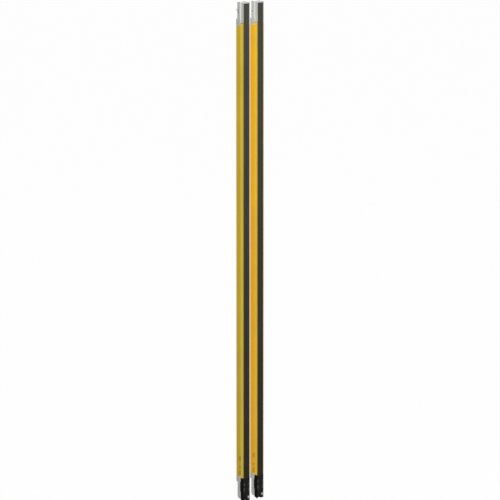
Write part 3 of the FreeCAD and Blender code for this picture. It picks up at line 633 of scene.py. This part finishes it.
def closeLoop(shape, loop, lift=0.0):
    face = bmesh.ops.contextual_create(shape, geom=loop)["faces"]
    if lift:
        centre = bmesh.ops.poke(shape, faces=face)["verts"]
        bmesh.ops.translate(shape, vec=(0, 0, lift), verts=centre)


threadSet = {
    "pitch": 0.8 * mm,
    "crest": 0.32 * mm,
    "root": 0.34 * mm,          # half the ridge's width at its root
    "stepsPerTurn": 20,
    "tipTaper": 0.8,            # the shank's tip, as a share of its radius
}


def threadCoil(shape, radius, start, end, inward):
    # a helical ridge round Z: inward for a tapped hole, outward for a shank
    look = threadSet
    reach = -look["crest"] if inward else look["crest"]
    half, pitch, steps = look["root"], look["pitch"], look["stepsPerTurn"]
    corners = [(radius, start - half), (radius + reach, start), (radius, start + half)]
    before = set(shape.verts)
    points = [shape.verts.new((across, 0, height)) for across, height in corners]
    line = [shape.edges.new(pair) for pair in zip(points, points[1:] + points[:1])]
    spun = bmesh.ops.spin(
        shape, geom=points + line, cent=(0, 0, 0), axis=(0, 0, 1), dvec=(0, 0, pitch / steps),
        angle=math.tau, steps=steps, use_merge=False, use_duplicate=False,
    )
    topRing = lastRing = vertsIn(spun["geom_last"])
    verts = [vert for vert in shape.verts if vert not in before]
    edges = {edge for vert in verts for edge in vert.link_edges}
    faces = {face for vert in verts for face in vert.link_faces}
    turn = [*verts, *edges, *faces]
    for lap in range(1, int((end - start) / pitch)):
        copied = bmesh.ops.duplicate(shape, geom=turn)
        bmesh.ops.translate(shape, vec=(0, 0, lap * pitch), verts=vertsIn(copied["geom"]))
        topRing = [copied["vert_map"][vert] for vert in lastRing]
    for ring in (points, topRing):
        shape.faces.new(ring)


def shankLevels(shank, length, tip):
    # from the drawn-in tip up to the head's seat at Z=0
    return [
        (-length, circleOf(shank * threadSet["tipTaper"])),
        (-length + tip, circleOf(shank)),
        (0, circleOf(shank)),
    ]


def seatOf(node, out, headHeight):
    # where a screw's head sits, and how long its shank is
    low, high = cornersOf(node)
    reach = abs((high - low).dot(out))
    return (low + high) / 2 + out * (reach / 2 - headHeight), reach - headHeight


socketScrewSet = {
    "steps": 72,
    "keyRadius": 1.6 * mm,
    "keyDepth": 1.3 * mm,
    "keyLeadIn": 0.14 * mm,
    "keyCone": 0.45 * mm,
    "rim": 0.28 * mm,           # chamfer round the head
    "rimFoot": 0.6,             # height of its lower and upper step, as shares of it
    "rimTop": 0.9,
    "knurl": 0.05 * mm,
    "tip": 0.3,                 # tip and start of the thread, as shares of the shank's radius
    "threadStart": 0.5,
    "heads": {                  # direction, head radius, head height and shank radius
        "cap_screw": ((0, 0, 1), 3.4 * mm, 2.6 * mm, 1.9 * mm),
        "module_front_screw": ((0, -1, 0), 4.5 * mm, 2.0 * mm, 1.9 * mm),
        "side_screw": ((1, 0, 0), 3.3 * mm, 4.6 * mm, 2.0 * mm),
    },
}


def socketScrew(shape, head, height, shank, length):
    # a knurled round head above Z=0 with a hexagon socket, and a threaded shank below it
    look = socketScrewSet
    steps, rim, leadIn = look["steps"], look["rim"], look["keyLeadIn"]
    groove = head - look["knurl"]
    key = hexagonOf(look["keyRadius"])

    def knurled(angle):
        return groove if round(angle / math.tau * steps) % 2 else head

    tip, socketFloor = growSkin(shape, steps, [
        *shankLevels(shank, length, shank * look["tip"]),
        (0, circleOf(head - rim)),
        (rim * look["rimFoot"], knurled),
        (height - rim, knurled),
        (height - rim * look["rimTop"], circleOf(groove)),
        (height, circleOf(head - rim)),
        (height, circleOf(look["keyRadius"] + leadIn)),
        (height - leadIn, key),
        (height - look["keyDepth"], key),
    ])
    closeLoop(shape, tip)
    closeLoop(shape, socketFloor, lift=-look["keyCone"])
    start = -length + shank * look["threadStart"]
    threadCoil(shape, shank, start, -threadSet["pitch"], inward=False)


def makeSocketScrews():
    for bar in bars:
        for kind, (direction, head, height, shank) in socketScrewSet["heads"].items():
            node = f"{bar}_{kind}"
            out = Vector(direction)
            if kind == "side_screw" and cornersOf(node)[0].x < 0:
                out = -out      # clamping screws face away from the other bar
            seat, length = seatOf(node, out, height)
            shape = bmesh.new()
            socketScrew(shape, head, height, shank, length)
            bmesh.ops.transform(shape, matrix=facing(out, seat), verts=shape.verts)
            slotName = "bright_screw" if kind == "module_front_screw" else "screw_steel"
            finishPiece(f"{node}_detailed", shape, made[slotName], node)


makeSocketScrews()
print("socket screws made")


hexScrewSet = {
    "steps": 48,
    "flange": 0.45 * mm,
    "chamfer": 0.35 * mm,
    "crown": 0.12 * mm,         # how far the middle of the head is dished
    "tip": 0.4,                 # tip and start of the thread, as shares of the shank's radius
    "threadStart": 0.6,
    "flangeTurn": 0.6,          # where the flange turns in, as a share of its height
    "flangeFoot": 0.97,         # the rest are shares of the head's radius
    "flangeRim": 0.99,
    "hexagonFoot": 0.95,
    "hexagon": 0.93,
    "turnedDown": 0.82,
    "heads": {                  # direction, head radius, head height and shank radius
        "top_foot_screws": ((0, 0, 1), 2.6 * mm, 1.8 * mm, 1.25 * mm),
        "bottom_foot_screws": ((0, 0, -1), 2.6 * mm, 1.8 * mm, 1.25 * mm),
        "end_block_screws": ((0, 1, 0), 2.9 * mm, 2.0 * mm, 1.4 * mm),
        "module_rear_screws": ((0, 1, 0), 2.9 * mm, 2.0 * mm, 1.4 * mm),
    },
}


def hexScrew(shape, head, height, shank, length):
    # a hexagon head on a round flange, with its corners turned down, and a threaded shank
    look = hexScrewSet
    hexagon = hexagonOf(head * look["hexagon"])

    def turnedDown(angle):
        return min(hexagon(angle), head * look["turnedDown"])

    tip, crown = growSkin(shape, look["steps"], [
        *shankLevels(shank, length, shank * look["tip"]),
        (0, circleOf(head * look["flangeFoot"])),
        (look["flange"] * look["flangeTurn"], circleOf(head * look["flangeRim"])),
        (look["flange"], hexagonOf(head * look["hexagonFoot"])),
        (height - look["chamfer"], hexagon),
        (height, turnedDown),
    ])
    closeLoop(shape, tip)
    closeLoop(shape, crown, lift=-look["crown"])
    start = -length + shank * look["threadStart"]
    threadCoil(shape, shank, start, -threadSet["pitch"], inward=False)


def makeHexScrews():
    # each node holds two screws, side by side
    for bar in bars:
        for kind, (direction, head, height, shank) in hexScrewSet["heads"].items():
            node = f"{bar}_{kind}"
            low, high = cornersOf(node)
            out = Vector(direction)
            seat, length = seatOf(node, out, height)
            apart = (high.x - low.x) / 2 - head
            shape = bmesh.new()
            for side in (-1, 1):
                before = set(shape.verts)
                hexScrew(shape, head, height, shank, length)
                settle(shape, before, facing(out, seat + Vector((side * apart, 0, 0))))
            finishPiece(f"{node}_detailed", shape, made["screw_steel"], node)


makeHexScrews()
print("hexagon screws made")


tappedSet = {"depth": 11.0 * mm, "leadIn": 0.5 * mm, "radius": 2.1 * mm}


def makeTappedHoles():
    # thread in the mounting bosses at both ends of each bar
    look = tappedSet
    for bar in bars:
        for end in ("top", "bottom"):
            mount = mounts[f"{bar}_{end}_bolts"]
            spot = Vector(mount["pos_m"])
            half = mount["dims"]["spacing_y_mm"] * mm / 2
            shape = bmesh.new()
            for side in (-1, 1):
                before = set(shape.verts)
                threadCoil(shape, look["radius"], -look["depth"], -look["leadIn"], inward=True)
                settle(shape, before, facing(mount["axis"], spot + Vector((0, 0, side * half))))
            metal = finishFor(bar, "cast_bracket")
            finishPiece(f"{bar}_{end}_boss_threads", shape, metal)


makeTappedHoles()
print("tapped holes made")


insertSet = {
    "steps": 32,
    "bore": 2.05 * mm,
    "lip": 0.2 * mm,
    "barrel": 2.9 * mm,
    "barrelChamfer": 0.4 * mm,
    "depth": 4.6 * mm,          # blind depth behind the cheek's inner face
    "floor": 0.8 * mm,
    "drillCone": 0.5 * mm,
    "cheek": 2.5 * mm,
    "sunk": 0.25 * mm,
}


def insertShape(shape, look):
    # a blind barrel behind a cheek whose outside lies at Z=0: first its bore, then its outside
    mouth, lip, barrel = -look["sunk"], look["lip"], look["barrel"]
    inner = -look["cheek"]
    bottom = inner - look["depth"]
    floor, chamfer = bottom + look["floor"], look["barrelChamfer"]
    lathe(shape, [
        (look["bore"], mouth), (look["bore"] - lip, mouth - lip),
        (look["bore"] - lip, floor + look["drillCone"]), (0, floor),
    ], look["steps"])
    lathe(shape, [
        (look["bore"], mouth), (look["bore"], inner), (barrel, inner),
        (barrel, bottom + chamfer), (barrel - chamfer, bottom), (0, bottom),
    ], look["steps"])


def makeInserts():
    # blind inserts that close the cheek holes from inside the bracket
    for bar in bars:
        spot = Vector(mounts[f"{bar}_side_hole"]["pos_m"])
        low, high = cornersOf(f"{bar}_top_bracket")
        shape = bmesh.new()
        for side, outside in ((-1, low.x), (1, high.x)):
            before = set(shape.verts)
            insertShape(shape, insertSet)
            settle(shape, before, facing((side, 0, 0), (outside, spot.y, spot.z)))
        finishPiece(f"{bar}_side_inserts", shape, made["dark_insert"])


makeInserts()
print("side inserts made")


plateSet = {
    "thickness": 0.4 * mm,
    "corner": 1.2 * mm,
    "cornerSteps": 5,
    "middle": 0.0,              # along Y, reaching over the side groove
    "width": 8.4 * mm,
    "border": 0.9 * mm,
    "sunk": 0.08 * mm,
    "rimSteps": 2,
    "rows": [                   # level above the housing's foot, and height
        (9 * mm, 14 * mm),
        (31 * mm, 7 * mm),
        (56 * mm, 14 * mm),
    ],
}


def barePlate(shape, height, look):
    # a thin rounded plate with a slightly sunk field, lying on Z=0
    before = set(shape.verts)
    thickness, sunk = look["thickness"], look["sunk"]
    block = addBlock(shape, (height, look["width"], thickness), (0, 0, thickness / 2))
    upright = [
        edge for edge in shape.edges if edge.verts[0] in block
        and abs(edge.verts[0].co.z - edge.verts[1].co.z) > thickness / 2
    ]
    bevelEdges(shape, upright, look["corner"], look["cornerSteps"])
    bevelEdges(shape, endFace(shape, before, (0, 0, 1)).edges, sunk, look["rimSteps"])
    field = endFace(shape, before, (0, 0, 1))
    insetFace(shape, field, look["border"])
    insetFace(shape, field, sunk, -sunk)


def makePlates():
    # bare plates low on the side of each housing
    look = plateSet
    for bar in bars:
        low = cornersOf(f"{bar}_housing")[0]
        shape = bmesh.new()
        for level, height in look["rows"]:
            before = set(shape.verts)
            barePlate(shape, height, look)
            spot = (low.x, look["middle"], low.z + level + height / 2)
            settle(shape, before, facing((-1, 0, 0), spot))
        finishPiece(f"{bar}_bare_plates", shape, made[f"{bar}_plate"])


makePlates()
print("plates made")


lampSet = {
    "width": 4.6 * mm,
    "depth": 1.4 * mm,
    "edge": 0.35 * mm,
    "edgeSteps": 3,
    "frame": 0.5 * mm,
    "groove": (0.1 * mm, -0.15 * mm),   # width and depth between frame and lens
    "crown": (0.5 * mm, 0.12 * mm),     # width and height of the lens's sloping border
    "rows": [(0, 13.0 * mm), (19.5 * mm, 9.0 * mm)],    # level above the lowest lamp, and height
    "smoothAngle": 25,
}


def makeLampLenses():
    # crowned lenses in a small raised frame, one for each recess in the module's front
    look = lampSet
    width, depth = look["width"], look["depth"]
    for bar in bars:
        node = f"{bar}_indicator_lamps"
        low, high = cornersOf(node)
        shape = bmesh.new()
        for level, height in look["rows"]:
            for left in (low.x, high.x - width):
                before = set(shape.verts)
                spot = (left + width / 2, low.y + depth / 2, low.z + level + height / 2)
                addBlock(shape, (width, depth, height), spot)
                rim = endFace(shape, before, (0, -1, 0)).edges
                bevelEdges(shape, rim, look["edge"], look["edgeSteps"])
                front = endFace(shape, before, (0, -1, 0))
                insetFace(shape, front, look["frame"])
                insetFace(shape, front, *look["groove"])
                insetFace(shape, front, *look["crown"])
        finishPiece(
            f"{node}_detailed", shape, made["lamp_lens"], node, look["smoothAngle"],
        )


makeLampLenses()
print("lamp lenses made")


pinSet = {
    "width": 0.8 * mm,
    "length": 5.0 * mm,
    "pitch": 3.0 * mm,
    "tip": 0.9 * mm,
    "tipShare": 0.35,
}


def squarePin(shape, look):
    # a pin whose drawn-in tip points down, its barrel centred on the origin
    before = set(shape.verts)
    width, tip, share = look["width"], look["tip"], look["tipShare"]
    addBlock(shape, (width, width, look["length"] - tip))
    foot = endFace(shape, before, (0, 0, -1))
    drawn = bmesh.ops.extrude_discrete_faces(shape, faces=[foot])["faces"][0]
    bmesh.ops.translate(shape, vec=(0, 0, -tip), verts=drawn.verts)
    bmesh.ops.scale(shape, vec=(share, share, 1), verts=drawn.verts)


def makePins():
    # rows of contact pins that point down into the socket
    look = pinSet
    width, pitch = look["width"], look["pitch"]
    barrel = look["length"] - look["tip"]
    for bar in bars:
        node = f"{bar}_contact_pins"
        low, high = cornersOf(node)
        corner = Vector((low.x + width / 2, low.y + width / 2, high.z - barrel / 2))
        columns = round((high.x - low.x - width) / pitch) + 1
        lines = round((high.y - low.y - width) / pitch) + 1
        shape = bmesh.new()
        for column in range(columns):
            for line in range(lines):
                before = set(shape.verts)
                squarePin(shape, look)
                spot = corner + Vector((column, line, 0)) * pitch
                settle(shape, before, Matrix.Translation(spot))
        finishPiece(f"{node}_detailed", shape, made["contact_brass"], node)


makePins()
print("contact pins made")


studioSet = {
    "worldLight": 0.38,
    "floorColour": (0.62, 0.62, 0.61),
    "floorRoughness": 0.9,
    "floorShare": 0.98,         # how much of the floor is plain white where it is seen directly
    "floorSize": 45,
}


def seenDirectly(tree):
    # 1 for the camera, mirror and see-through rays, which should find a white background
    rays = addNode(tree, "ShaderNodeLightPath", (-3, 0)).outputs
    seen = calculate(tree, (-2, 0), "MAXIMUM", rays["Is Camera Ray"], rays["Is Glossy Ray"])
    return calculate(tree, (-1, 0), "MAXIMUM", seen, rays["Is Transmission Ray"])


def layWhite(tree, mask, under, whiteKind, surface):
    # plain white instead of the shader under it, where the mask is bright
    white = addNode(tree, whiteKind, (0, 2))
    setInputs(white, {"Color": (1, 1, 1, 1), "Strength": 1.0})
    mix = addNode(tree, "ShaderNodeMixShader", (2, 0))
    tree.links.new(mask, mix.inputs[0])
    tree.links.new(under.outputs[0], mix.inputs[1])
    tree.links.new(white.outputs[0], mix.inputs[2])
    tree.links.new(mix.outputs[0], surface)


def makeWorld():
    world = bpy.data.worlds.new("softStudio")
    world.use_nodes = True
    tree = world.node_tree
    tree.nodes.clear()
    out = addNode(tree, "ShaderNodeOutputWorld", (4, 0))
    light = addNode(tree, "ShaderNodeBackground", (0, 1))
    setInputs(light, {"Color": (1, 1, 1, 1), "Strength": studioSet["worldLight"]})
    layWhite(tree, seenDirectly(tree), light, "ShaderNodeBackground", out.inputs["Surface"])
    bpy.context.scene.world = world


def makeFloor():
    look = studioSet
    mesh = bpy.data.meshes.new("studioFloor")
    shape = bmesh.new()
    bmesh.ops.create_grid(shape, x_segments=1, y_segments=1, size=look["floorSize"])
    shape.to_mesh(mesh)
    shape.free()
    floor = bpy.data.objects.new("studioFloor", mesh)
    bpy.context.collection.objects.link(floor)
    material = bpy.data.materials.new("paleFloor")
    material.use_nodes = True
    tree = material.node_tree
    shader = tree.nodes["Principled BSDF"]
    setInputs(shader, {
        "Base Color": (*look["floorColour"], 1), "Roughness": look["floorRoughness"],
        "Specular IOR Level": 0.0,
    })
    mask = calculate(tree, (0, 0), "MULTIPLY", seenDirectly(tree), look["floorShare"])
    surface = tree.nodes["Material Output"].inputs["Surface"]
    layWhite(tree, mask, shader, "ShaderNodeEmission", surface)
    mesh.materials.append(material)


lamps = {
    "keyPanel": {"spot": (-2.2, -3.4, 4.4), "aim": (0, 0, 1.0), "size": 3.0, "power": 276},
    "topPanel": {"spot": (0.3, -0.6, 4.6), "aim": (0, 0, 0.8), "size": 2.4, "power": 38},
    "fillPanel": {"spot": (4.2, -1.6, 2.4), "aim": (0, 0, 0.8), "size": 3.0, "power": 60},
}


def makeLamps():
    for name, lamp in lamps.items():
        data = bpy.data.lights.new(name, "AREA")
        data.shape = "SQUARE"
        data.size = lamp["size"]
        data.energy = lamp["power"]
        light = bpy.data.objects.new(name, data)
        bpy.context.collection.objects.link(light)
        light.location = lamp["spot"]
        way = Vector(lamp["aim"]) - light.location
        light.rotation_mode = "QUATERNION"
        light.rotation_quaternion = way.to_track_quat("-Z", "Y")


makeWorld()
makeFloor()
makeLamps()
bpy.context.scene.view_settings.view_transform = "Standard"
print("studio ready")
